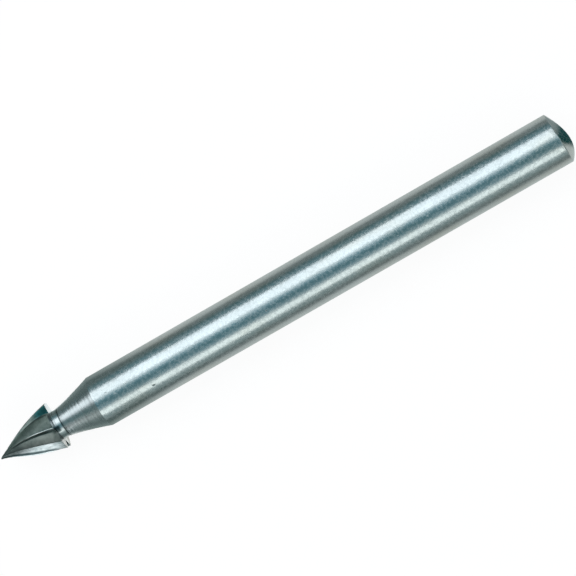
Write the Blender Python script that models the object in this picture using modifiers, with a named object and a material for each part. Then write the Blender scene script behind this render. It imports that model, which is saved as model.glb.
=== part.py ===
"""High speed rotary cutter: a pointed head with spiral teeth on a plain round shank, all one bar.

The blank is one turned profile. The flutes are spiral notches cut out of its head, one after
another round the axis, by a cutter lofted along the flute. The tool lies along +X with its point
at -X. The origin is on the axis, in the middle of the length of shank that a collet grips.
"""

from math import asin, atan2, cos, exp, hypot, log, pi, radians, sin, sqrt, tan

import bmesh
import bpy

# Whole tool, metres
OVERALL_LENGTH = 0.0381
SHANK_DIAMETER = 0.003175
GRIP_FROM_END = 0.012

# Shank end, a shallow dome that meets the side at a crisp edge. It was rounded by hand, so it
# stands fuller to one side: the skew is the share by which its height grows there
DOME_HEIGHT = 0.00053
DOME_SKEW = 0.3

# Head, a slightly bellied cone from the blunted point to the back rim
HEAD_LENGTH = 0.0039
HEAD_DIAMETER = 0.0030
HEAD_ARC_RADIUS = 0.014
TIP_DIAMETER = 0.0001

# Neck behind the head, the small step it ends in, and the shoulder that widens to the shank
NECK_DIAMETER = 0.00178
NECK_LENGTH = 0.00042
NECK_FILLET = 0.00003
NECK_STEP = 0.00002
SHOULDER_LENGTH = 0.00245
SHOULDER_ARC_RADIUS = 0.018

# Flutes: the steep face leans off the radius, and the floor rises from the root to the next
# land. The depth is a share of the head's radius, and grows towards the back as it would when
# the grinding wheel runs out past the rim
FLUTE_COUNT = 5
FLUTE_HELIX = radians(9.5)
FLUTE_FRONT_DEPTH = 0.20
FLUTE_BACK_DEPTH = 0.38
FLUTE_DEPTH_CURVE = 5
FLUTE_WIDTH = radians(35)
FLUTE_FACE_LEAN = radians(19)
FLUTE_ROOT_SHARE = 0.03
FLUTE_FROM_TIP = 0.00040
FLUTE_RUNOUT_LENGTH = 0.00030
FLUTE_PHASE = radians(2)

# How finely the curves are cut into flat facets
ROUND_STEPS = 80
HEAD_STEPS = 14
SHOULDER_STEPS = 4
FILLET_STEPS = 3
DOME_STEPS = 7
FLUTE_STEPS = 44

# The cutter beyond the flute: shares of the head's radius that its two sides run to from the
# root, past the head's surface, and the length that it starts ahead of the flute
CUTTER_FACE_REACH = 0.62
CUTTER_FLOOR_REACH = 0.78
CUTTER_LEAD = 0.0002

# Edges sharper than this keep a crisp line when the faces are shaded smooth
SHARP_ANGLE = radians(20)

# Ground steel
STEEL_COLOUR = (0.56, 0.57, 0.58, 1.0)
STEEL_ROUGHNESS = 0.24

# Radii, and stations along X measured from the tip
SHANK_RADIUS = SHANK_DIAMETER / 2
HEAD_RADIUS = HEAD_DIAMETER / 2
NECK_RADIUS = NECK_DIAMETER / 2
TIP_RADIUS = TIP_DIAMETER / 2
NECK_END = HEAD_LENGTH + NECK_LENGTH
SHOULDER_END = NECK_END + SHOULDER_LENGTH
DOME_START = OVERALL_LENGTH - DOME_HEIGHT
TIP_X = GRIP_FROM_END - OVERALL_LENGTH


def arc(start, end, radius, steps):
    """Points after start up to end, on an arc that bulges to the left of start-to-end."""
    (x0, r0), (x1, r1) = start, end
    chord = hypot(x1 - x0, r1 - r0)
    to_centre = sqrt(radius ** 2 - (chord / 2) ** 2)
    right = ((r1 - r0) / chord, -(x1 - x0) / chord)
    centre_x = (x0 + x1) / 2 + right[0] * to_centre
    centre_r = (r0 + r1) / 2 + right[1] * to_centre
    first = atan2(r0 - centre_r, x0 - centre_x)
    sweep = 2 * asin(chord / 2 / radius)
    angles = [first - sweep * step / steps for step in range(1, steps)]
    points = [(centre_x + radius * cos(a), centre_r + radius * sin(a)) for a in angles]
    return points + [end]


def head_radius(x):
    """Radius of the head's bellied outline at a station from the tip."""
    chord = hypot(HEAD_LENGTH, HEAD_RADIUS - TIP_RADIUS)
    to_centre = sqrt(HEAD_ARC_RADIUS ** 2 - (chord / 2) ** 2)
    centre_x = HEAD_LENGTH / 2 + to_centre * (HEAD_RADIUS - TIP_RADIUS) / chord
    centre_r = (HEAD_RADIUS + TIP_RADIUS) / 2 - to_centre * HEAD_LENGTH / chord
    return centre_r + sqrt(HEAD_ARC_RADIUS ** 2 - (x - centre_x) ** 2)


def blank_profile():
    """Outline of the turned blank as (station, radius), from the tip to the end of the dome."""
    rim = (HEAD_LENGTH, HEAD_RADIUS)
    fillet_top = (HEAD_LENGTH, NECK_RADIUS + NECK_FILLET)
    fillet_end = (HEAD_LENGTH + NECK_FILLET, NECK_RADIUS)
    step_top = (NECK_END, NECK_RADIUS + NECK_STEP)
    shank_front = (SHOULDER_END, SHANK_RADIUS)
    dome_radius = (SHANK_RADIUS ** 2 + DOME_HEIGHT ** 2) / (2 * DOME_HEIGHT)

    points = [(0, 0), (0, TIP_RADIUS)]
    points += arc((0, TIP_RADIUS), rim, HEAD_ARC_RADIUS, HEAD_STEPS)
    points += [fillet_top]
    points += hollow_arc(fillet_top, fillet_end, NECK_FILLET, FILLET_STEPS)
    points += [(NECK_END, NECK_RADIUS), step_top]
    points += hollow_arc(step_top, shank_front, SHOULDER_ARC_RADIUS, SHOULDER_STEPS)
    points += [(DOME_START, SHANK_RADIUS)]
    points += arc((DOME_START, SHANK_RADIUS), (OVERALL_LENGTH, 0), dome_radius, DOME_STEPS)
    return points


def hollow_arc(start, end, radius, steps):
    """Points after start up to end, on an arc that is hollow: the same arc drawn from its end."""
    return arc(end, start, radius, steps)[-2::-1] + [end]


def turned(name, profile, collection):
    """Solid of revolution about X, from an outline of (station, radius) between its two poles."""
    mesh = bpy.data.meshes.new(name)
    shape = bmesh.new()
    verts = [shape.verts.new((TIP_X + x, 0, r)) for x, r in reversed(profile)]
    for near, far in zip(verts, verts[1:]):
        shape.edges.new((near, far))
    shape.to_mesh(mesh)
    shape.free()

    turned_object = bpy.data.objects.new(name, mesh)
    collection.objects.link(turned_object)
    screw = turned_object.modifiers.new("turn", 'SCREW')
    screw.axis = 'X'
    screw.angle = 2 * pi
    screw.steps = ROUND_STEPS
    screw.render_steps = ROUND_STEPS
    screw.use_merge_vertices = True
    screw.merge_threshold = 1e-7
    return turned_object


def flute_section(x):
    """Corners of the notch at a station, as (outward, along the turn) seen from the cutting edge.

    The root lies under the edge by the depth. One side climbs past the edge, and the other
    climbs slowly to where the next land starts. Where the flute begins, near the tip, both
    sides are lifted out of the head together.
    """
    radius = head_radius(x)
    grown = min(1, x / HEAD_LENGTH) ** FLUTE_DEPTH_CURVE
    share = FLUTE_FRONT_DEPTH + (FLUTE_BACK_DEPTH - FLUTE_FRONT_DEPTH) * grown
    begun = 1 - exp((FLUTE_FROM_TIP - x) / FLUTE_RUNOUT_LENGTH)
    depth = radius * share * begun
    root = (radius - depth, depth * tan(FLUTE_FACE_LEAN))
    face = (cos(FLUTE_FACE_LEAN), -sin(FLUTE_FACE_LEAN))
    full_root = (radius * (1 - share), radius * share * tan(FLUTE_FACE_LEAN))
    land = (radius * cos(FLUTE_WIDTH), radius * sin(FLUTE_WIDTH))
    floor_width = hypot(land[0] - full_root[0], land[1] - full_root[1])
    floor = ((land[0] - full_root[0]) / floor_width, (land[1] - full_root[1]) / floor_width)
    root_flat = radius * FLUTE_ROOT_SHARE

    def walk(direction, distance):
        return (root[0] + direction[0] * distance, root[1] + direction[1] * distance)

    return [walk(face, root_flat), walk(face, radius * CUTTER_FACE_REACH),
            walk(floor, radius * CUTTER_FLOOR_REACH), walk(floor, root_flat)]


def flute_angle(x):
    """How far the cutting edge has turned about the axis at a station, from its back end."""
    half_cone = atan2(HEAD_RADIUS - TIP_RADIUS, HEAD_LENGTH)
    return FLUTE_PHASE + log(x / HEAD_LENGTH) * tan(FLUTE_HELIX) / sin(half_cone)


def flute_cutter_mesh():
    """Closed loft of the notch's section along its spiral, longer than the flute at both ends."""
    first = FLUTE_FROM_TIP - CUTTER_LEAD
    last = HEAD_LENGTH + NECK_LENGTH / 2
    shape = bmesh.new()
    rings = []
    for step in range(FLUTE_STEPS + 1):
        x = first * (last / first) ** (step / FLUTE_STEPS)
        turn = flute_angle(x)
        ring = []
        for out, along in flute_section(x):
            y = -out * sin(turn) - along * cos(turn)
            z = out * cos(turn) - along * sin(turn)
            ring.append(shape.verts.new((TIP_X + x, y, z)))
        rings.append(ring)
    corners = len(rings[0])
    for near, far in zip(rings, rings[1:]):
        for corner in range(corners):
            after = (corner + 1) % corners
            shape.faces.new((near[corner], near[after], far[after], far[corner]))
    shape.faces.new(reversed(rings[0]))
    shape.faces.new(rings[-1])
    bmesh.ops.recalc_face_normals(shape, faces=shape.faces)
    mesh = bpy.data.meshes.new("flute_cutter")
    shape.to_mesh(mesh)
    shape.free()
    return mesh


def cut_flutes(blank, collection):
    """Take the flutes out of the blank, one cutter after another round the axis."""
    mesh = flute_cutter_mesh()
    for index in range(FLUTE_COUNT):
        cutter = bpy.data.objects.new(f"flute_cutter_{index + 1}", mesh)
        cutter.rotation_euler.x = 2 * pi * index / FLUTE_COUNT
        cutter.hide_render = True
        cutter.display_type = 'WIRE'
        collection.objects.link(cutter)
        cut = blank.modifiers.new(f"flute_{index + 1}", 'BOOLEAN')
        cut.operation = 'DIFFERENCE'
        cut.solver = 'EXACT'
        cut.object = cutter


def skew_dome(mesh):
    """Raise the shank's dome on the -Y side and lower it on the other, with its edge in place."""
    dome_x = TIP_X + DOME_START
    for vert in mesh.vertices:
        if vert.co.x > dome_x:
            height = vert.co.x - dome_x
            vert.co.x += height * DOME_SKEW * -vert.co.y / SHANK_RADIUS


def finish_mesh(piece):
    """Make the modifiers' result the piece's own mesh, and shade it smooth between its edges."""
    evaluated = piece.evaluated_get(bpy.context.evaluated_depsgraph_get())
    mesh = bpy.data.meshes.new_from_object(evaluated)
    skew_dome(mesh)
    mesh.shade_smooth()
    mesh.set_sharp_from_angle(angle=SHARP_ANGLE)
    piece.modifiers.clear()
    piece.data = mesh
    mesh.name = piece.name


def steel():
    """Bright ground tool steel."""
    material = bpy.data.materials.new("tool_steel")
    material.use_nodes = True
    shader = material.node_tree.nodes["Principled BSDF"]
    shader.inputs["Base Color"].default_value = STEEL_COLOUR
    shader.inputs["Metallic"].default_value = 1.0
    shader.inputs["Roughness"].default_value = STEEL_ROUGHNESS
    material.diffuse_color = STEEL_COLOUR
    return material


def new_collection(name):
    collection = bpy.data.collections.new(name)
    bpy.context.scene.collection.children.link(collection)
    return collection


def main():
    for old in list(bpy.data.objects):
        bpy.data.objects.remove(old)
    parts = new_collection("high_speed_rotary_cutter")
    cutters = new_collection("cutters")

    rotary_cutter = turned("rotary_cutter", blank_profile(), parts)
    cut_flutes(rotary_cutter, cutters)
    finish_mesh(rotary_cutter)
    rotary_cutter.data.materials.append(steel())


main()
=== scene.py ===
"""Looks of the high speed rotary cutter: its ground steel, its teeth, and the light on it.

The tool lies along X with its point at -X, on a white floor. Its head is one tooth and one flute,
drawn as a strip of sections from the back rim to the point, then copied round the axis. Its neck,
shoulder, shank and domed end are a ring drawn out along an outline and bridged to the head's back.
"""

from math import asin, atan2, cos, exp, hypot, pi, radians, sin, sqrt, tan

import bmesh
import bpy
from bpy.props import FloatProperty, FloatVectorProperty, IntProperty, PointerProperty
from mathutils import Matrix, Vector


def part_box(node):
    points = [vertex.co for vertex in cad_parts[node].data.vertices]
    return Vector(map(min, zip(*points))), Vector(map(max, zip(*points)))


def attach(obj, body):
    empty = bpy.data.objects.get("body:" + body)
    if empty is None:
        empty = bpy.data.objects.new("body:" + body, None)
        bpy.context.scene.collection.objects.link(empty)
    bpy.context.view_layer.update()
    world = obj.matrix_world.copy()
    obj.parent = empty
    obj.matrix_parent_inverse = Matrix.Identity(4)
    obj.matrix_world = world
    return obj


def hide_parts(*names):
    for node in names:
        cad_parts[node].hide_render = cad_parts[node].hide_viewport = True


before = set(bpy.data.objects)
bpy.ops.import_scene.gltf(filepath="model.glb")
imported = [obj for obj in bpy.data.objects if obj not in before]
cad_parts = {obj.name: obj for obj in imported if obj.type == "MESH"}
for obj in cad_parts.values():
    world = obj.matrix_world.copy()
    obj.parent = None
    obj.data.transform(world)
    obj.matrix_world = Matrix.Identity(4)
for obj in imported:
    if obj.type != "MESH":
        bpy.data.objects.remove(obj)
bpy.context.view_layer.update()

bl_info = {
    "name": "Rotary Cutter",
    "version": (1, 0, 0),
    "blender": (4, 5, 0),
    "location": "View3D > Sidebar > Cutter",
    "description": "Models a high speed rotary cutter with spiral teeth, and its white stage",
    "category": "Object",
}

NODE_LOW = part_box("rotary_cutter")[0]
PIECE = "ground_cutter"
AXIS = (1, 0, 0)
SMOOTH_ANGLE = radians(36)

# Where the root, the floor and the land start among the points of a tooth's section
ROOT_FIRST = 4
FLOOR_FIRST = 7
LAND_FIRST = 14

# Stations along the head: how many from the back rim to the start of the flutes, and the shares
# of that start at which the ones in front of it lie
HEAD_STEPS = 40
FRONT_SHARES = (0.75, 0.5, 0.25, 0.1, 0.02)

# Depth of the relief in the finishes
SHANK_RELIEF = 0.0000075
FINE_RELIEF = 0.000004

# Marks on the shank: place along X, place round the shank from +Z to -Y, half length, strength
NICKS = ((-0.01848, -0.00026, 0.00009, 0.35), (-0.01582, 0.00078, 0.00011, 0.9),
         (-0.00796, 0.00026, 0.00005, 1.0))
DINGS = ((0.00052, -0.00084, 0.00006, 1.0), (0.00077, 0.00026, 0.00006, 1.0),
         (0.00279, 0.00013, 0.00006, 1.0), (-0.00009, 0.00002, 0.00005, 1.0),
         (-0.0180, 0.00004, 0.00009, 0.7), (-0.0064, -0.00110, 0.00005, 1.0))

# How far a mark moves along X for each step round the shank
MARK_LEAN = 0.9

# Painted pools of light on the floor beside the head, as metal shows them: place, radius, tone
FLOOR_PATCHES = (((-0.0219, 0.0012, 0), 0.0006, (1.1, 1.16, 1.16)),
                 ((-0.0220, -0.0013, 0), 0.0006, (0.9, 0.93, 0.90)),
                 ((-0.0231, -0.0022, 0), 0.0008, (0.62, 0.66, 0.64)))

# The camera, and the things that light the tool or show in its metal
CAMERA_PLACE = (0.01147, 0, 0.165)
CAMERA_TURN = (-0.0524106, 0.0942689, -0.5230869)
CAMERA_LENS = 178.86
LAMP_DISTANCE = 0.15
CARD_PLACE = (-0.0262, -0.0030, 0.0013)
CARD_LENGTH = 0.0056
CARD_HEIGHT = 0.0058
FLOOR_SIZE = 1.6
TENT_RADIUS = 0.5


# Sizes and colours that a user would change

def size(name, description, default):
    return FloatProperty(name=name, description=description, default=default, min=0,
                         subtype='DISTANCE', unit='LENGTH', precision=5)


def share(name, description, default):
    return FloatProperty(name=name, description=description, default=default, subtype='FACTOR')


def turn(name, description, default):
    return FloatProperty(name=name, description=description, default=radians(default),
                         subtype='ANGLE', unit='ROTATION')


def colour(name, description, default):
    return FloatVectorProperty(name=name, description=description, default=default, size=3,
                               min=0, max=1, subtype='COLOR')


class CutterSizes(bpy.types.PropertyGroup):
    tip_x: FloatProperty(
        name="Tip", description="Where the point lies along X", default=NODE_LOW[0],
        subtype='DISTANCE', unit='LENGTH')
    length: size("Length", "From the point to the middle of the domed end", 0.0381)
    head_length: size("Head length", "From the point to the back rim", 0.0039)
    head_radius: size("Head radius", "Radius over the lands at the back rim", 0.0015)
    head_belly: size("Head belly", "Radius of the arc that the head's outline follows", 0.014)
    tip_radius: size("Tip radius", "Radius of the blunted point", 0.00003)
    front_wear: size("Front wear", "How much the head is worn down behind its point", 0.00006)
    wear_place: size("Wear place", "How far behind the point it is worn most", 0.00075)
    neck_radius: size("Neck radius", "Radius of the neck behind the head", 0.00089)
    neck_length: size("Neck length", "From the back rim to the small step", 0.00042)
    neck_fillet: size("Neck fillet", "Rounding between the back of the head and the neck", 0.00003)
    ring_pitch: size("Ring pitch", "Spacing of the turning rings on the shoulder", 0.00023)
    neck_step: size("Neck step", "How far the shoulder starts outside the neck", 0.00002)
    shoulder_length: size("Shoulder length", "From the small step to the shank", 0.00245)
    shoulder_hollow: size("Shoulder hollow", "Radius of the shoulder's hollow outline", 0.018)
    shank_radius: size("Shank radius", "Radius of the shank", 0.0015875)
    dome_height: size("Dome height", "Height of the domed end", 0.00055)
    dome_tilt: turn("Dome tilt", "How far the dome's edge leans to the -Y side", 3)
    dome_skew: share("Dome skew", "How much fuller the dome is on its -Y side", 0.3)
    edge: size("Edge width", "Width of the wear on the crisp edges", 0.000014)
    # This strip along the first cutting edge is raised, and coloured near white as a painted glint
    burr_glint: size("Burr", "Width of the bright burr along the first cutting edge", 0.000048)
    point_droop: size("Point droop", "How far the worn point leans to its -Y side", 0.00007)


class ToothShape(bpy.types.PropertyGroup):
    count: IntProperty(name="Teeth", description="Teeth round the head", default=5, min=2)
    twist: turn("Twist", "How far the teeth turn from the point to the back rim", 32)
    phase: turn("Phase", "Where the first cutting edge meets the back rim", 1)
    flute_width: turn("Flute width", "Turn from a cutting edge to the next land", 36)
    face_lean: turn("Face lean", "Lean of the steep face off the radius", 19)
    front_depth: share("Front depth", "Depth near the point, as a share of the radius", 0.20)
    back_depth: share("Back depth", "Depth at the back rim, as a share of the radius", 0.38)
    # How far round the painted shadow runs along the far side of the lit land
    painted_shade: turn("Film", "Turn of the dark film before the second cutting edge", 17)
    start: size("Flute start", "From the point to where the flutes begin", 0.0004)
    runout: size("Run-out", "Length over which the flutes sink in", 0.0003)


class SteelLook(bpy.types.PropertyGroup):
    shank: colour("Shank", "Ground steel of the shank", (0.62, 0.65, 0.66))
    land: colour("Lands", "Stained steel of the lands", (0.16, 0.195, 0.18))
    flute: colour("Flutes", "Stained steel of the flutes", (0.22, 0.235, 0.215))
    # A lighter copy of the lands' colour, painted on the first land as painted light
    lit_land: colour("Rubbed", "Steel of the lands where it is rubbed clean", (0.46, 0.50, 0.50))
    teal: colour("Teal", "Temper colour at the back of the steep faces", (0.025, 0.115, 0.12))
    # Dark dirt in pits, nicks and turning marks, and also the colour of painted shade and painted
    # shadows
    dirt_and_shade: colour("Dirt", "Dark film in the grooves", (0.02, 0.045, 0.048))
    roughness: share("Roughness", "Roughness of the ground shank", 0.2)


# Nodes

class Socket:
    """An output socket that can be used in sums, so that maths reads as maths."""

    def __init__(self, tree, output):
        self.tree = tree
        self.output = output

    def maths(self, operation, *others):
        return self.tree.node('ShaderNodeMath', {'operation': operation}, self, *others)

    def __add__(self, other):
        return self.maths('ADD', other)

    def __mul__(self, other):
        return self.maths('MULTIPLY', other)

    def __sub__(self, other):
        return self.maths('SUBTRACT', other)

    def __rsub__(self, other):
        return self.tree.node('ShaderNodeMath', {'operation': 'SUBTRACT'}, other, self)

    def __truediv__(self, other):
        return self.maths('DIVIDE', other)

    def __pow__(self, other):
        return self.maths('POWER', other)

    __radd__ = __add__
    __rmul__ = __mul__

    def clamp(self):
        return self.tree.node('ShaderNodeClamp', {}, self)

    def between(self, low, high):
        """0 where the value is low, 1 where it is high, smooth between."""
        return self.tree.node('ShaderNodeMapRange', {'interpolation_type': 'SMOOTHSTEP'},
                              Value=self, From_Min=low, From_Max=high)


class Tree:
    """The node tree of a material or a world."""

    def __init__(self, owner):
        owner.use_nodes = True
        self.nodes = owner.node_tree.nodes
        self.links = owner.node_tree.links
        self.nodes.clear()

    def put(self, socket, value):
        if isinstance(value, Socket):
            self.links.new(value.output, socket)
        elif socket.type == 'RGBA' and len(value) == 3:
            socket.default_value = (*value, 1)
        else:
            socket.default_value = value

    def node(self, kind, settings=None, *values, out=0, **named):
        """A node of a type, with its settings, then the values or links of its sockets.

        A value of None leaves its socket alone. What comes back is the node's output.
        """
        node = self.nodes.new(kind)
        for name, value in (settings or {}).items():
            if name == 'stops':
                self.set_stops(node.color_ramp, value)
            else:
                setattr(node, name, value)
        for place, value in enumerate(values):
            if value is not None:
                self.put(node.inputs[place], value)
        for name, value in named.items():
            self.put(node.inputs[name.replace('_', ' ')], value)
        return Socket(self, node.outputs[out]) if node.outputs else None

    def set_stops(self, ramp, stops):
        while len(ramp.elements) < len(stops):
            ramp.elements.new(1)
        for element, (place, value) in zip(ramp.elements, stops):
            element.position = place
            element.color = (*value, 1)

    def mix(self, factor, first, second, blend='MIX'):
        """Mix of two colours by a factor; the node's sockets for numbers and vectors stay idle."""
        settings = {'data_type': 'RGBA', 'blend_type': blend}
        idle = [None] * 5
        return self.node('ShaderNodeMix', settings, factor, *idle, first, second, out=2)

    def multiply(self, first, second):
        """Product of two colours."""
        return self.mix(1, first, second, 'MULTIPLY')

    def place(self):
        """Object coordinates as vector, x, y and z."""
        vector = self.node('ShaderNodeTexCoord', out='Object')
        return vector, *(self.node('ShaderNodeSeparateXYZ', {}, vector, out=axis)
                         for axis in 'XYZ')

    def noise(self, vector, scale, stretch=(1, 1, 1), detail=2, roughness=0.5, shift=(0, 0, 0)):
        """Noise from 0 to 1, its vector stretched along the axes first."""
        mapped = self.node('ShaderNodeMapping', {}, vector, shift, (0, 0, 0), stretch)
        return self.node('ShaderNodeTexNoise', {}, Vector=mapped, Scale=scale, Detail=detail,
                         Roughness=roughness)

    def rays(self, *kinds):
        """1 for rays of these kinds, by their names in Light Path, and 0 for all others."""
        return sum(self.node('ShaderNodeLightPath', out=kind) for kind in kinds).clamp()

    def glow(self, tone, strength=1.0):
        """A flat light, where a strength of 1 shows the tone as it is."""
        return self.node('ShaderNodeEmission', {}, Color=tone, Strength=strength)

    def surface(self, shader):
        self.node('ShaderNodeOutputMaterial', {}, shader)

    def steel(self, tone, rough, height, relief):
        """Bare metal of a tone and roughness, with a height of 0 to about 1 as relief."""
        bump = self.node('ShaderNodeBump', {}, Strength=1.0, Distance=relief, Height=height)
        self.surface(self.node('ShaderNodeBsdfPrincipled', {}, Base_Color=tone, Metallic=1.0,
                               Roughness=rough, Normal=bump))


def new_finish(name):
    """A material and its tree."""
    material = bpy.data.materials.new(name)
    return material, Tree(material)


def scaled(tone, factor):
    """A tone made lighter or darker by a factor."""
    return tuple(channel * factor for channel in tone)


def speckle(tree, vector):
    """Fine ground grain, from 0 to 1, up to a tenth of a millimetre across."""
    return tree.noise(vector, 11000, detail=4, roughness=0.75)


def ring_marks(tree, vector, x, pitch):
    """Turning marks round the axis: a regular feed with its own unevenness, from 0 to 1."""
    uneven = tree.noise(vector, 900, stretch=(1, 0.05, 0.05), detail=2)
    wave = ((x / pitch + uneven * 0.9) * (2 * pi)).maths('SINE')
    return (wave * 0.5) + 0.5


def marks(x, around, places):
    """Small slanting marks at places along and round the shank, from 0 to their strength."""
    spots = 0
    for place, turned, length, strength in places:
        down = (around - turned) / length
        ahead = (x - place) / length - down * MARK_LEAN
        spots = (1 - (ahead ** 2 + (down * 2) ** 2).between(0.3, 1.2)) * strength + spots
    return spots


def shank_steel(sizes, look):
    """Bright ground steel: a fine speckle, faint lines round it, smears, dark nicks and dings."""
    material, tree = new_finish("shank_steel")
    vector, x, y, z = tree.place()
    around = (y * -1).maths('ARCTAN2', z) * sizes.shank_radius
    grain = speckle(tree, vector)
    mottle = tree.noise(vector, 6500, detail=2, roughness=0.6).between(0.35, 0.65)
    lines = tree.noise(vector, 9000, stretch=(1, 0.02, 0.02), detail=3)
    cloud = tree.noise(vector, 420, detail=2)
    tone = tree.mix(cloud.between(0.3, 0.75), look.shank, scaled(look.shank, 0.93))
    smear = tree.noise(vector, 900, stretch=(0.35, 1, 1), detail=4, shift=(0.4, 0.2, 0))
    tone = tree.mix(smear.between(0.45, 0.75) * 0.4, tone, (0.54, 0.52, 0.46))
    grains = tree.mix(grain.between(0.35, 0.65), (0.94, 0.95, 0.95), (1.04, 1.04, 1.04))
    tone = tree.multiply(tone, grains)
    nicks = marks(x, around, NICKS)
    dings = marks(x, around, DINGS)
    tone = tree.mix(nicks * 0.9, tone, look.dirt_and_shade)
    rough = look.roughness + (mottle - 0.5) * 0.19 + (cloud - 0.5) * 0.06
    rough = rough + nicks * 0.2 + dings * 0.35
    height = grain * 0.5 + mottle * 0.12 + lines * 0.2 - nicks
    tree.steel(tone, rough, height, SHANK_RELIEF)
    return material


def shoulder_steel(sizes, teeth, look):
    """Turned steel of the neck and shoulder: soft rings round it, and painted shade in the corner
    behind the neck, on the neck behind the first tooth, and on the flat back of the head."""
    material, tree = new_finish("shoulder_steel")
    vector, x, y, z = tree.place()
    grain = speckle(tree, vector)
    rings = ring_marks(tree, vector, x, sizes.ring_pitch / 2)
    fine = tree.noise(vector, 9000, stretch=(1, 0.04, 0.04), detail=3)
    patch = tree.noise(vector, 1500, detail=2).between(0.35, 0.7)
    back = sizes.tip_x + sizes.head_length
    neck_end = back + sizes.neck_length
    corner = neck_end + 2 * sizes.neck_step
    # Painted shade: a dark line in the corner at the step behind the neck
    step_shade = 1 - (x - corner).maths('ABSOLUTE').between(0.00002, 0.00007)
    # Painted shadow on the neck behind the first tooth's flute
    behind_tooth = (y * -1).maths('ARCTAN2', z) - teeth.phase - 0.22
    tooth_shadow = behind_tooth.maths('COSINE').between(0.965, 0.99)
    tooth_shadow = tooth_shadow * (1 - x.between(neck_end - 0.00025, neck_end - 0.0001))
    # Painted shade on the flat back of the head, between the teeth's back rim and the neck
    on_back = 1 - x.between(back, back + 2 * sizes.neck_fillet)
    back_shade = on_back * (1 - y.maths('ABSOLUTE').between(0.0007, 0.0010))
    smear = tree.noise(vector, 3600, stretch=(1, 0.4, 1)).between(0.42, 0.6)
    smear = smear * on_back * (y * -1).between(0.0005, 0.0009)
    painted_shade = (step_shade * 0.8).maths('MAXIMUM', tooth_shadow * 0.9).maths('MAXIMUM', back_shade * 0.7)
    tone = tree.mix(fine.between(0.5, 0.8) * (patch * 0.35 + 0.15), look.shank, look.dirt_and_shade)
    tone = tree.mix(painted_shade, tone, look.dirt_and_shade)
    tone = tree.mix(smear * 0.85, tone, (0.24, 0.23, 0.21))
    on_shoulder = x.between(neck_end, neck_end + 0.00005)
    rough = on_shoulder * 0.06 + look.roughness + (grain - 0.5) * 0.12 + patch * 0.05
    tree.steel(tone, rough, rings * 0.3 + fine * 0.9 + grain * 0.5, FINE_RELIEF)
    return material


def head_place(tree, sizes, teeth):
    """A spot on the head: vector, share of the length, turn from the first cutting edge."""
    vector, x, y, z = tree.place()
    along = (x - sizes.tip_x) / sizes.head_length
    turned = (y * -1).maths('ARCTAN2', z) - teeth.phase + (1 - along) * teeth.twist
    return vector, along, turned


def edge_burr_glint(tree, sizes, teeth, along, turned):
    """1 along the back half of the first cutting edge, where a raised lip stands with a painted
    glint, and 0 elsewhere.
    """
    y, z = tree.place()[2:]
    pitch = 2 * pi / teeth.count
    off = (turned / pitch).maths('PINGPONG', 0.5) * pitch * (y * y + z * z).maths('SQRT')
    burr_glint = 1 - off.between(sizes.burr_glint / 2, sizes.burr_glint)
    return burr_glint * turned.maths('COSINE').between(0.9, 0.97) * along.between(0.5, 0.75)


def head_steel(tree, look, vector, tone, rough, streak, lip=0.0):
    """Finish a head material: marks that run along the teeth, clouds of staining and small pits.

    The streak is how deep those marks are, and the lip how high a raised edge stands.
    """
    grain = speckle(tree, vector)
    lines = tree.noise(vector, 16000, stretch=(0.06, 1, 1), detail=3)
    cloud = tree.noise(vector, 2200, detail=3)
    fleck = tree.noise(vector, 6000, detail=2, shift=(0.3, 0.1, 0)).between(0.45, 0.75)
    pits = tree.noise(vector, 9000, detail=1, shift=(0.7, 0, 0)).between(0.70, 0.78)
    tone = tree.multiply(tone, tree.mix(cloud.between(0.3, 0.75),
                                        (1.12, 1.1, 1.1), (0.74, 0.78, 0.78)))
    tone = tree.multiply(tone, tree.mix(fleck, (1, 1, 1), (0.8, 0.83, 0.82)))
    tone = tree.mix(pits * 0.5, tone, look.dirt_and_shade)
    rough = rough + (grain - 0.5) * 0.16 + (cloud - 0.5) * 0.12
    tree.steel(tone, rough, grain * 0.5 + lines * streak - pits * 0.8 + lip, FINE_RELIEF)


def land_steel(sizes, teeth, look):
    """Lands: stained, but the first one painted lighter as if lit, with a painted shadow along its
    far side, and a raised lip along the first cutting edge painted bright as a glint."""
    material, tree = new_finish("land_steel")
    vector, along, turned = head_place(tree, sizes, teeth)
    burr_glint = edge_burr_glint(tree, sizes, teeth, along, turned)
    # The first land, painted lighter than the others as painted light
    lit_land = (turned - 0.93).maths('COSINE').between(0.70, 0.95)
    spots = tree.noise(vector, 5200, stretch=(0.6, 1, 1), detail=2, shift=(0.2, 0, 0.1))
    pitch = 2 * pi / teeth.count
    tone = tree.mix(along.between(0.25, 0.7), scaled(look.land, 1.4), look.land)
    worn = (turned / pitch).maths('FLOORED_MODULO', 1).between(0.5, 0.85)
    tone = tree.multiply(tone, tree.mix(worn, (1.9, 1.8, 1.75), (1, 1, 1)))
    # Its painted lit tone, with spots, and darker towards the point
    lit_land_tone = tree.mix(spots.between(0.45, 0.7), look.lit_land, scaled(look.lit_land, 0.7))
    lit_land_tone = tree.mix(along.between(0.2, 0.6), scaled(look.lit_land, 0.62), lit_land_tone)
    tone = tree.mix(lit_land, tone, lit_land_tone)
    # Painted shadow along the far side of the lit land, left off at the back
    painted_shade = turned.between(pitch - teeth.painted_shade, pitch - 0.5 * teeth.painted_shade)
    painted_shade = painted_shade * (1 - turned.between(pitch, pitch + 0.1)) * (1 - along.between(0.78, 0.94))
    tone = tree.mix(painted_shade * 0.95, tone, look.dirt_and_shade)
    # Painted highlight: the raised strip on the first cutting edge coloured near white as a glint
    tone = tree.mix(burr_glint, tone, (0.95, 1.0, 1.0))
    head_steel(tree, look, vector, tone, rough=0.45, streak=0.5, lip=burr_glint * 2)
    return material


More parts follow.
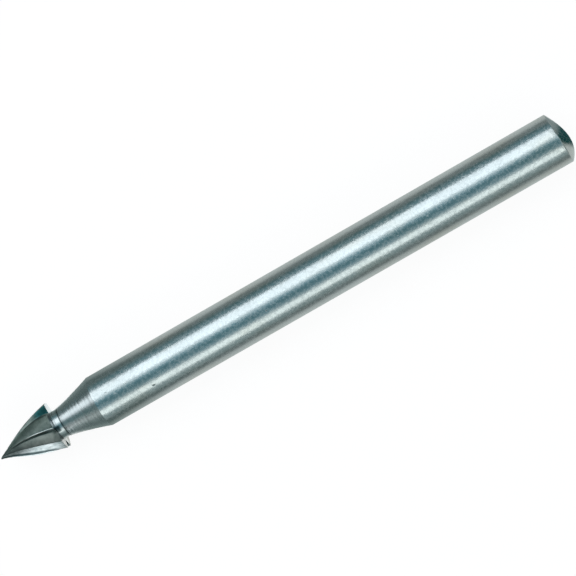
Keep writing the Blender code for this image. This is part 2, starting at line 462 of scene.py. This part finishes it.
def face_steel(sizes, teeth, look):
    """Steep faces: stained greyish, and teal towards the back; the first one painted darker as
    shade, and towards the back as light as the land painted lit.
    """
    material, tree = new_finish("face_steel")
    vector, along, turned = head_place(tree, sizes, teeth)
    first = turned.maths('COSINE').between(0.8, 0.95)
    tone = tree.mix(along.between(0.70, 0.84), scaled(look.land, 1.1), look.teal)
    # The first steep face: painted shade, and towards the back the painted lit tone of the lands
    first_face_shade_and_light = tree.mix(along.between(0.78, 0.92), scaled(look.land, 0.7), look.lit_land)
    head_steel(tree, look, vector, tree.mix(first, tone, first_face_shade_and_light), rough=0.32, streak=0.4)
    return material


def root_steel(sizes, teeth, look):
    """Painted shade in the crease where the steep face meets the floor of a flute."""
    material, tree = new_finish("root_steel")
    vector, along, _ = head_place(tree, sizes, teeth)
    # Painted shade in the crease, left off near the point and at the back
    painted_shade = along.between(0, 0.3) * (1 - along.between(0.84, 0.95)) * 0.7
    tone = tree.mix(painted_shade, look.land, look.dirt_and_shade)
    head_steel(tree, look, vector, tone, rough=0.45, streak=0.6)
    return material


def flute_steel(sizes, teeth, look):
    """Floors of the flutes: brownish staining, darker towards the next land.

    The second flute has a painted shadow in it, and its far side a pale painted sheen.
    """
    material, tree = new_finish("flute_steel")
    vector, along, turned = head_place(tree, sizes, teeth)
    pitch = 2 * pi / teeth.count
    across = (turned / pitch).maths('FLOORED_MODULO', 1) * pitch / teeth.flute_width
    tone = tree.mix(across.between(0.35, 1.0), look.flute, scaled(look.flute, 0.55))
    tone = tree.multiply(tone, tree.mix(along.between(0.1, 0.9), (0.5, 0.58, 0.6), (1, 1, 1)))
    # Painted shadow in the second flute beside the lit land, and a pale painted sheen on its far
    # side
    second = (turned - pitch - teeth.flute_width / 2).maths('COSINE').between(0.93, 0.95)
    shadow_and_sheen = tree.mix(across.between(0.74, 0.92), look.dirt_and_shade, (0.55, 0.60, 0.60))
    tone = tree.mix(second * along.between(0.05, 0.2), tone, shadow_and_sheen)
    head_steel(tree, look, vector, tone, rough=0.40, streak=0.9)
    return material


# Outlines

def arc(start, end, radius, steps):
    """Points after start up to end, on an arc that bulges to the left of start-to-end."""
    (x0, r0), (x1, r1) = start, end
    chord = hypot(x1 - x0, r1 - r0)
    to_centre = sqrt(radius ** 2 - (chord / 2) ** 2)
    centre_x = (x0 + x1) / 2 + (r1 - r0) / chord * to_centre
    centre_r = (r0 + r1) / 2 - (x1 - x0) / chord * to_centre
    first = atan2(r0 - centre_r, x0 - centre_x)
    sweep = 2 * asin(chord / 2 / radius)
    angles = [first - sweep * step / steps for step in range(1, steps)]
    return [(centre_x + radius * cos(a), centre_r + radius * sin(a)) for a in angles] + [end]


def hollow_arc(start, end, radius, steps):
    """The same arc drawn from its end, so that it is hollow."""
    return arc(end, start, radius, steps)[-2::-1] + [end]


def land_radius(sizes, x):
    """Radius over the lands at a station from the point."""
    rise = sizes.head_radius - sizes.tip_radius
    chord = hypot(sizes.head_length, rise)
    to_centre = sqrt(sizes.head_belly ** 2 - (chord / 2) ** 2)
    centre_x = sizes.head_length / 2 + to_centre * rise / chord
    centre_r = (sizes.head_radius + sizes.tip_radius) / 2 - to_centre * sizes.head_length / chord
    part = x / sizes.wear_place
    worn = sizes.front_wear * part ** 2 * exp(2 - 2 * part)
    return centre_r + sqrt(sizes.head_belly ** 2 - (x - centre_x) ** 2) - worn


def edge_turn(sizes, teeth, x):
    """How far the cutting edge has turned round the axis at a station."""
    return teeth.phase - teeth.twist * (1 - x / sizes.head_length)


def tooth_section(sizes, teeth, x):
    """One flute and the land after it, as (radius, turn from the cutting edge), in order."""
    radius = land_radius(sizes, x)
    grown = (x / sizes.head_length) ** 5
    depth = teeth.front_depth + (teeth.back_depth - teeth.front_depth) * grown
    depth *= max(0, 1 - exp((teeth.start - x) / teeth.runout))
    wear = min(0.25, sizes.edge / radius)
    root = (1 - depth, depth * tan(teeth.face_lean))
    land = (cos(teeth.flute_width), sin(teeth.flute_width))

    def between(first, last, part):
        return (first[0] + (last[0] - first[0]) * part, first[1] + (last[1] - first[1]) * part)

    points = [between((1, 0), root, part) for part in (0.08, 0.35, 0.65, 0.86)]
    into_floor = [between(root, land, part) for part in (0.035, 0.09)]
    points += [between(between(points[-1], into_floor[0], 0.5), root, 0.55)]
    points += into_floor
    points += [between(root, land, part) for part in (0.25, 0.45, 0.65, 0.82, 0.93, 0.985)]
    section = [(1 - 0.9 * wear, 0)]
    section += [(hypot(out, along), atan2(along, out)) for out, along in points]
    pitch = 2 * pi / teeth.count
    rest = pitch - teeth.flute_width
    section += [(1, teeth.flute_width + rest * part)
                for part in (0.02, 0.09, 0.2, 0.32, 0.44, 0.56, 0.68, 0.8, 0.9)]
    # The next cutting edge, rounded by its wear
    section += [(1, pitch - 1.6 * wear), (1 - 0.15 * wear, pitch - 0.5 * wear),
                (1 - 0.9 * wear, pitch)]
    return [(radius * out, angle) for out, angle in section]


def turned_rings(start, end, radius, pitch):
    """A hollow arc as a lathe tool leaves it, with a shallow dip at each turn of the feed."""
    smooth = hollow_arc(start, end, radius, 60)
    count = round((end[0] - start[0]) / pitch)

    def height(x):
        for (x0, r0), (x1, r1) in zip([start] + smooth, smooth):
            if x <= x1:
                return r0 + (r1 - r0) * (x - x0) / (x1 - x0)
        return end[1]

    points = []
    for ring in range(count):
        dip = 0.08 + 0.04 * sin(ring * 2.4) + 0.03 * sin(ring * 5.3)
        x0 = start[0] + (end[0] - start[0]) * ring / count
        x1 = start[0] + (end[0] - start[0]) * (ring + 1) / count
        low, high = height(x0), height(x1)
        for part in (0.15, 0.4, 0.65, 0.85, 1):
            rise = part - dip * sin(pi * part ** 1.6)
            points.append((x0 + (x1 - x0) * part, low + (high - low) * rise))
    return points


def body_outline(sizes):
    """The neck, shoulder, shank and domed end as (station, radius), from the back of the head."""
    neck_end = sizes.head_length + sizes.neck_length
    shoulder_end = neck_end + sizes.shoulder_length
    dome_start = sizes.length - sizes.dome_height
    dome_radius = (sizes.shank_radius ** 2 + sizes.dome_height ** 2) / (2 * sizes.dome_height)
    fillet_top = (sizes.head_length, sizes.neck_radius + sizes.neck_fillet)
    fillet_end = (sizes.head_length + sizes.neck_fillet, sizes.neck_radius)
    step_top = (neck_end + sizes.edge, sizes.neck_radius + sizes.neck_step)
    shank_front = (shoulder_end, sizes.shank_radius)
    points = [fillet_top] + hollow_arc(fillet_top, fillet_end, sizes.neck_fillet, 5)
    points += [(neck_end - sizes.edge, sizes.neck_radius), (neck_end, sizes.neck_radius), step_top]
    points += turned_rings(step_top, shank_front, sizes.shoulder_hollow, sizes.ring_pitch)
    points += [(shoulder_end + 2 * sizes.edge, sizes.shank_radius)]
    shank = dome_start - shoulder_end
    points += [(shoulder_end + shank * part, sizes.shank_radius) for part in (0.02, 0.5, 0.98)]
    points += [(dome_start - sizes.edge, sizes.shank_radius)]
    dome = arc((dome_start, sizes.shank_radius), (sizes.length, 0), dome_radius, 16)
    points += [(dome_start + 0.4 * sizes.edge, sizes.shank_radius - 0.6 * sizes.edge)]
    return points + dome[:-1]


# Modelling

def start_piece(name):
    """Name the new active object and open it for editing: the object and its editable shape."""
    piece = bpy.context.object
    piece.name = name
    piece.data.name = name
    bpy.ops.object.mode_set(mode='EDIT')
    bpy.ops.mesh.select_mode(type='VERT')
    bpy.ops.mesh.select_all(action='DESELECT')
    return piece, bmesh.from_edit_mesh(piece.data)


def pick(shape, verts):
    """Select only these vertices."""
    bpy.ops.mesh.select_all(action='DESELECT')
    for vert in verts:
        vert.select_set(True)
    shape.select_flush_mode()


def pick_where(shape, wanted):
    """Select only the vertices whose place answers to a test, and give them back."""
    chosen = [vert for vert in shape.verts if wanted(vert.co)]
    pick(shape, chosen)
    return chosen


def turn_about_axis(angle):
    bpy.ops.transform.rotate(value=-angle, orient_axis='X', center_override=(0, 0, 0))


def scale_about_axis(scale):
    bpy.ops.transform.resize(value=(1, scale, scale), center_override=(0, 0, 0))


def polar(co):
    """Radius and turn of a point about the axis."""
    return hypot(co.y, co.z), atan2(-co.y, co.z)


def extrude_along(distance):
    """Extrude what is selected along the tool's axis."""
    bpy.ops.mesh.extrude_region_move(TRANSFORM_OT_translate={"value": (distance, 0, 0)})


def head_stations(sizes, teeth):
    """Stations from the back rim to the point, closer together where the flutes run out."""
    rim = sizes.head_length - sizes.edge
    ratio = teeth.start / rim
    stations = [sizes.head_length]
    stations += [rim * ratio ** (step / HEAD_STEPS) for step in range(HEAD_STEPS + 1)]
    return stations + [teeth.start * part for part in FRONT_SHARES]


def fit_section(shape, verts, section, angle):
    """Turn and scale each point of a strip's edge about the axis to its place in the section."""
    for vert, (radius, along) in zip(verts, section):
        now_radius, now_turn = polar(vert.co)
        off = (angle + along - now_turn + pi) % (2 * pi) - pi
        if abs(off) > 1e-5 or abs(radius / now_radius - 1) > 1e-4:
            pick(shape, [vert])
            turn_about_axis(off)
            scale_about_axis(radius / now_radius)


def draw_tooth(sizes, teeth):
    """One tooth and flute: the back rim's share of a circle, drawn out to the point."""
    stations = head_stations(sizes, teeth)
    section = tooth_section(sizes, teeth, stations[0])
    points = len(section)
    step = 2 * pi / teeth.count / (points - 1)
    bpy.ops.mesh.primitive_circle_add(vertices=(points - 1) * teeth.count,
                                      radius=sizes.head_radius,
                                      location=(sizes.tip_x + stations[0], 0, 0),
                                      rotation=(0, pi / 2, 0))
    bpy.ops.object.transform_apply(location=True, rotation=True, scale=True)
    piece, shape = start_piece(PIECE)
    last = step * (points - 1) + step / 2
    pick_where(shape, lambda co: (polar(co)[1] + step / 2) % (2 * pi) > last)
    bpy.ops.mesh.delete(type='VERT')
    strip = sorted(shape.verts, key=lambda vert: (polar(vert.co)[1] + step / 2) % (2 * pi))
    fit_section(shape, strip, section, edge_turn(sizes, teeth, stations[0]))

    for before, after in zip(stations, stations[1:]):
        pick(shape, strip)
        extrude_along(after - before)
        angle = edge_turn(sizes, teeth, after)
        turn_about_axis(angle - edge_turn(sizes, teeth, before))
        scale_about_axis(land_radius(sizes, after) / land_radius(sizes, before))
        # A little is added, so that the cutting edge itself sorts first
        strip = sorted((vert for vert in shape.verts if vert.select),
                       key=lambda vert: (polar(vert.co)[1] - angle + 0.1) % (2 * pi))
        fit_section(shape, strip, tooth_section(sizes, teeth, after), angle)
    return piece, shape


def copy_tooth_round(sizes, teeth, shape):
    """Copy the tooth round the axis, merge the seams, close the point and wear the back rim."""
    bpy.ops.mesh.select_all(action='SELECT')
    bpy.ops.mesh.spin(steps=teeth.count - 1, dupli=True, center=(0, 0, 0), axis=AXIS,
                      angle=2 * pi * (teeth.count - 1) / teeth.count)
    bpy.ops.mesh.select_all(action='SELECT')
    bpy.ops.mesh.remove_doubles(threshold=1e-7)
    last = teeth.start * FRONT_SHARES[-1]
    pick_where(shape, lambda co: co.x < sizes.tip_x + 1.5 * last)
    extrude_along(-last / 2)
    scale_about_axis(0.5)
    extrude_along(-last / 2)
    bpy.ops.mesh.merge(type='CENTER')
    bends = (1.6, 1.0, 0.5, 0.2)
    for part in bends:
        pick_where(shape, lambda co: co.x < sizes.tip_x + teeth.start * part)
        bpy.ops.transform.translate(value=(0, -sizes.point_droop / len(bends), 0))
    back = sizes.tip_x + sizes.head_length - sizes.edge / 2
    pick_where(shape, lambda co: co.x > back)
    scale_about_axis(1 - 0.7 * sizes.edge / sizes.head_radius)


def draw_body(sizes, ring_points):
    """Neck, shoulder, shank and dome: a ring at the back of the head, drawn along the outline."""
    outline = body_outline(sizes)
    x, radius = outline[0]
    dome_start = sizes.length - sizes.dome_height
    tilt = 0
    bpy.ops.mesh.primitive_circle_add(vertices=ring_points, radius=radius,
                                      location=(sizes.tip_x + x, 0, 0), rotation=(0, pi / 2, 0))
    for next_x, next_radius in outline[1:]:
        extrude_along(next_x - x)
        centre = (sizes.tip_x + next_x, 0, 0)
        bpy.ops.transform.resize(value=[next_radius / radius] * 3, center_override=centre)
        height = next_x - dome_start
        next_tilt = 0
        if height > -2 * sizes.edge:
            lean = atan2(max(0, height) * sizes.dome_skew, sizes.shank_radius)
            next_tilt = sizes.dome_tilt + lean
        if next_tilt > tilt:
            bpy.ops.transform.rotate(value=tilt - next_tilt, orient_axis='Z',
                                     center_override=centre)
        x, radius, tilt = next_x, next_radius, next_tilt
    extrude_along(sizes.length - x)
    bpy.ops.mesh.merge(type='CENTER')


def close_back(sizes, shape):
    """Bridge the back rim of the teeth to the front of the neck's fillet, across the flat back."""
    back = sizes.tip_x + sizes.head_length
    pick_where(shape, lambda co: abs(co.x - back) < sizes.edge / 4)
    bpy.ops.mesh.bridge_edge_loops()
    bpy.ops.mesh.select_all(action='SELECT')
    bpy.ops.mesh.normals_make_consistent(inside=False)


def give_finish(piece, shape, material, wanted):
    """Give a finish to the faces whose middle answers to a test."""
    piece.data.materials.append(material)
    bpy.ops.mesh.select_all(action='DESELECT')
    bpy.ops.mesh.select_mode(type='FACE')
    for face in shape.faces:
        face.select_set(wanted(face.calc_center_median()))
    piece.active_material_index = len(piece.data.materials) - 1
    bpy.ops.object.material_slot_assign()


class CUTTER_OT_body(bpy.types.Operator):
    """Model the whole cutter as one closed solid"""
    bl_idname = "cutter.body"
    bl_label = "Cutter"

    def execute(self, context):
        sizes = context.scene.cutter_sizes
        teeth = context.scene.cutter_teeth
        look = context.scene.cutter_steel
        bpy.ops.object.select_all(action='DESELECT')
        piece, shape = draw_tooth(sizes, teeth)
        copy_tooth_round(sizes, teeth, shape)
        ring_points = (len(tooth_section(sizes, teeth, sizes.head_length)) - 1) * teeth.count
        draw_body(sizes, ring_points)
        close_back(sizes, shape)

        back = sizes.tip_x + sizes.head_length
        shank = back + sizes.neck_length + sizes.shoulder_length

        def inside(first, last):
            """A test of whether a spot lies between two points of a tooth's section."""
            def test(middle):
                x = middle.x - sizes.tip_x
                if not 0 < x < sizes.head_length:
                    return False
                section = tooth_section(sizes, teeth, x)
                off = (polar(middle)[1] - edge_turn(sizes, teeth, x)) % (2 * pi / teeth.count)
                return section[first][1] < off < section[last][1]
            return test

        give_finish(piece, shape, land_steel(sizes, teeth, look), lambda middle: True)
        give_finish(piece, shape, face_steel(sizes, teeth, look), inside(0, ROOT_FIRST))
        give_finish(piece, shape, root_steel(sizes, teeth, look), inside(ROOT_FIRST, FLOOR_FIRST))
        give_finish(piece, shape, flute_steel(sizes, teeth, look), inside(FLOOR_FIRST, LAND_FIRST))
        give_finish(piece, shape, shoulder_steel(sizes, teeth, look),
                    lambda middle: back - sizes.edge / 4 < middle.x < shank)
        give_finish(piece, shape, shank_steel(sizes, look), lambda middle: middle.x > shank)
        bpy.ops.object.mode_set(mode='OBJECT')
        bpy.ops.object.shade_smooth_by_angle(angle=SMOOTH_ANGLE)
        weighted = piece.modifiers.new("even_shading", 'WEIGHTED_NORMAL')
        weighted.keep_sharp = True
        bpy.ops.object.modifier_apply(modifier=weighted.name)
        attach(piece, "root")
        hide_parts("rotary_cutter")
        return {'FINISHED'}


# Stage

class StageLight(bpy.types.PropertyGroup):
    key: FloatProperty(name="Cool box", description="Brightness of the cool soft box as metal "
                       "shows it, where 1 is white", default=1.1, min=0)
    fill: FloatProperty(name="Warm box", description="Brightness of the warm soft box as metal "
                        "shows it, where 1 is white", default=0.94, min=0)
    card: FloatProperty(name="Card", description="Brightness of the card by the head as metal "
                        "shows it, where 1 is white", default=2.3, min=0)
    cool: colour("Cool", "Colour of the cool soft box", (0.92, 0.97, 1.0))
    warm: colour("Warm", "Colour of the warm soft box", (0.94, 1.0, 0.97))
    tent: colour("Tent", "Dark tent straight above the tool", (0.10, 0.21, 0.24))
    tent_ahead: colour("Tent, ahead", "Dark tent ahead of the point", (0.03, 0.095, 0.10))
    floor_near: colour("Near floor", "Floor beside the tool as metal shows it",
                       (0.56, 0.61, 0.59))
    floor_far: colour("Far floor", "Floor further off as metal shows it", (0.19, 0.23, 0.225))
    # The dark strip past the domed end is a painted shadow of the tool
    floor_end_shadow: colour("End floor", "Floor past the domed end as metal shows it",
                      (0.006, 0.065, 0.065))


def soft_box(name, tone, brightness, angle, width, ends):
    """An area light over the tool: its angle from straight up towards -Y, width and ends in X."""
    length = ends[1] - ends[0]
    place = ((ends[0] + ends[1]) / 2, -LAMP_DISTANCE * sin(angle), LAMP_DISTANCE * cos(angle))
    bpy.ops.object.light_add(type='AREA', location=place, rotation=(angle, 0, 0))
    lamp = bpy.context.object
    lamp.name = name
    lamp.data.name = name
    lamp.data.shape = 'RECTANGLE'
    lamp.data.size = length
    lamp.data.size_y = width
    lamp.data.color = tone
    lamp.data.energy = brightness * pi * length * width
    lamp.visible_camera = False


def add_backdrop(piece, material):
    """Make a piece part of the stage that lights and shows in nothing but reflections."""
    piece.data.materials.append(material)
    piece.visible_camera = False
    piece.visible_diffuse = False
    piece.visible_shadow = False


def card_material(stage):
    """White that fades out ahead of the point and above a top that slants down to the shank."""
    material, tree = new_finish("white_card")
    _, x, _, z = tree.place()
    shown = x.between(-0.0288, -0.0262) * (1 - (z + x + 0.0250).between(0.0024, 0.0034))
    tree.surface(tree.glow(tree.mix(shown, (0, 0, 0), stage.cool), stage.card))
    return material


def white_card(stage):
    """A white card standing close on the head's -Y side, taller ahead, that only metal shows."""
    bpy.ops.mesh.primitive_plane_add(size=1, location=CARD_PLACE, rotation=(pi / 2, 0, 0))
    card = bpy.context.object
    card.name = "white_card"
    bpy.ops.transform.resize(value=(CARD_LENGTH, 1, CARD_HEIGHT))
    bpy.ops.object.transform_apply(location=True, rotation=True, scale=True)
    add_backdrop(card, card_material(stage))


def floor_material(stage):
    """White paper with a faint shadow; metal shows it lit beside the tool and dim further off.

    Metal also shows a painted shadow of the tool under its shoulder and shank, painted pools of
    light beside the head, and past the domed end a painted shadow that widens outwards between
    two lit sides.
    """
    material, tree = new_finish("white_floor")
    vector, x, y, _ = tree.place()
    paper = tree.node('ShaderNodeBsdfDiffuse', {}, Color=(0.9, 0.9, 0.9))
    white = tree.glow((1, 1, 1), 1.06)
    lit = tree.node('ShaderNodeMixShader', {}, 0.86, paper, white)
    off = y.maths('ABSOLUTE')
    tone = tree.mix(off.between(0.003, 0.011), stage.floor_near, stage.floor_far)
    # Painted shadow of the tool on the floor under the shoulder and shank, as metal shows it
    under_shadow = tree.mix(off.between(0.0028, 0.0070), (0.22, 0.28, 0.27), (0.11, 0.155, 0.15))
    tone = tree.mix(x.between(-0.0215, -0.0140), under_shadow, tone)
    # Painted pools of light beside the head
    for place, radius, patch_tone in FLOOR_PATCHES:
        away = tree.node('ShaderNodeVectorMath', {'operation': 'DISTANCE'}, vector, place,
                         out='Value')
        tone = tree.mix(1 - away.between(radius, radius + 0.0005), tone, patch_tone)
    # Painted shadow past the domed end, widening outwards between two lit sides
    past_end = (x - 0.0122).maths('MAXIMUM', 0)
    aside = y.maths('MAXIMUM', 0) * 2.3 - y.maths('MINIMUM', 0) * 2.2
    aside = aside / (past_end * 120 + 1)
    lit_end = tree.mix(y.between(-0.0003, 0.0003), (0.60, 0.66, 0.64), (0.27, 0.33, 0.33))
    end = tree.mix(aside.between(0.0013, 0.0031), stage.floor_end_shadow, lit_end)
    tone = tree.mix(x.between(0.0119, 0.0124) * (1 - off.between(0.003, 0.006)), tone, end)
    mirrored = tree.rays('Is Glossy Ray', 'Is Transmission Ray')
    tree.surface(tree.node('ShaderNodeMixShader', {}, mirrored, lit, tree.glow(tone)))
    return material


def tent_material(stage):
    """Dark tent: teal above, with the boxes' light spilling on it, and darker ahead of the tool.

    The ramps run round the tool's axis, from the +Y floor over the top to the -Y floor.
    """
    material, tree = new_finish("dark_tent")
    _, x, y, z = tree.place()
    around = (y * -1).maths('ARCTAN2', z) / pi + 0.5

    def round_axis(tones):
        stops = [(0.5 + angle / 180, tone) for angle, tone in tones]
        return tree.node('ShaderNodeValToRGB', {'stops': stops}, around)

    over = round_axis([
        (-90, (0.17, 0.22, 0.21)), (-80, (0.08, 0.15, 0.16)), (-66, (0.16, 0.28, 0.31)),
        (-50, (0.31, 0.40, 0.43)), (-17, (0.46, 0.58, 0.61)), (-15, (0.84, 0.97, 1.0)),
        (-9, (0.64, 0.80, 0.85)), (-3, (0.25, 0.42, 0.48)), (5, (0.13, 0.26, 0.30)),
        (14, tuple(stage.tent)), (24, (0.17, 0.30, 0.34)), (32, (0.36, 0.48, 0.51)),
        (38, (0.56, 0.64, 0.64)), (41, (0.28, 0.34, 0.34)), (59, (0.34, 0.41, 0.40)),
        (62, (0.52, 0.60, 0.59)), (72, (0.28, 0.37, 0.37)), (90, (0.22, 0.28, 0.27))])
    ahead = round_axis([
        (-90, (0.08, 0.115, 0.11)), (-70, (0.06, 0.10, 0.10)), (-54, (0.09, 0.14, 0.14)),
        (-46, (0.30, 0.36, 0.37)), (-20, (0.34, 0.40, 0.41)), (0, tuple(stage.tent_ahead)),
        (24, (0.08, 0.15, 0.15)), (38, (0.26, 0.32, 0.31)), (50, (0.48, 0.55, 0.53)),
        (60, (0.44, 0.50, 0.49)), (72, (0.13, 0.18, 0.17)), (90, (0.10, 0.15, 0.145))])
    tree.surface(tree.glow(tree.mix(1 - x.between(-0.30, -0.21), over, ahead)))
    return material


def lit_world():
    """White behind everything that shows it, and a plain pale light on everything else."""
    world = bpy.data.worlds.new("pale_room")
    bpy.context.scene.world = world
    tree = Tree(world)
    shown = tree.rays('Is Camera Ray', 'Is Glossy Ray', 'Is Transmission Ray')
    white = tree.node('ShaderNodeBackground', {}, Color=(1, 1, 1), Strength=1.0)
    pale = tree.node('ShaderNodeBackground', {}, Color=(0.9, 0.95, 1), Strength=0.5)
    both = tree.node('ShaderNodeMixShader', {}, shown, pale, white)
    tree.node('ShaderNodeOutputWorld', {}, both)


class CUTTER_OT_stage(bpy.types.Operator):
    """Set up the camera, the soft boxes, the white card, the white floor and the dark tent"""
    bl_idname = "cutter.stage"
    bl_label = "Stage"

    def execute(self, context):
        stage = context.scene.cutter_stage
        bpy.ops.object.select_all(action='DESELECT')
        bpy.ops.object.camera_add(location=CAMERA_PLACE, rotation=CAMERA_TURN)
        camera = bpy.context.object
        camera.name = "photo_camera"
        camera.data.sensor_width = 36
        camera.data.lens = CAMERA_LENS
        camera.data.clip_start = 0.005
        context.scene.camera = camera

        soft_box("cool_box", stage.cool, stage.key, angle=radians(-34), width=0.100,
                 ends=(-0.260, 0.070))
        soft_box("warm_box", stage.warm, stage.fill, angle=radians(50), width=0.058,
                 ends=(-0.100, 0.070))
        white_card(stage)

        bpy.ops.mesh.primitive_plane_add(size=FLOOR_SIZE, location=(0, 0, NODE_LOW[2]))
        floor = bpy.context.object
        floor.name = "floor"
        floor.data.materials.append(floor_material(stage))

        bpy.ops.mesh.primitive_uv_sphere_add(segments=48, ring_count=24, radius=TENT_RADIUS)
        tent, shape = start_piece("tent")
        pick_where(shape, lambda co: co.z < -0.01)
        bpy.ops.mesh.delete(type='VERT')
        bpy.ops.mesh.select_all(action='SELECT')
        bpy.ops.mesh.normals_make_consistent(inside=True)
        bpy.ops.object.mode_set(mode='OBJECT')
        add_backdrop(tent, tent_material(stage))

        lit_world()
        context.scene.view_settings.view_transform = 'Standard'
        return {'FINISHED'}


class CUTTER_PT_panel(bpy.types.Panel):
    """Lists the cutter's pieces and their sizes"""
    bl_idname = "CUTTER_PT_panel"
    bl_label = "Rotary Cutter"
    bl_space_type = 'VIEW_3D'
    bl_region_type = 'UI'
    bl_category = "Cutter"

    def draw(self, context):
        scene = context.scene
        for group in (scene.cutter_sizes, scene.cutter_teeth, scene.cutter_steel,
                      scene.cutter_stage):
            box = self.layout.box()
            for name in group.__annotations__:
                box.prop(group, name)
        self.layout.operator("cutter.body")
        self.layout.operator("cutter.stage")


GROUPS = {"cutter_sizes": CutterSizes, "cutter_teeth": ToothShape, "cutter_steel": SteelLook,
          "cutter_stage": StageLight}
CLASSES = (*GROUPS.values(), CUTTER_OT_body, CUTTER_OT_stage, CUTTER_PT_panel)


def register():
    for cls in CLASSES:
        bpy.utils.register_class(cls)
    for name, group in GROUPS.items():
        setattr(bpy.types.Scene, name, PointerProperty(type=group))


def unregister():
    for name in GROUPS:
        delattr(bpy.types.Scene, name)
    for cls in reversed(CLASSES):
        bpy.utils.unregister_class(cls)


def main():
    register()
    bpy.ops.cutter.body()
    bpy.ops.cutter.stage()


if __name__ == "__main__":
    main()
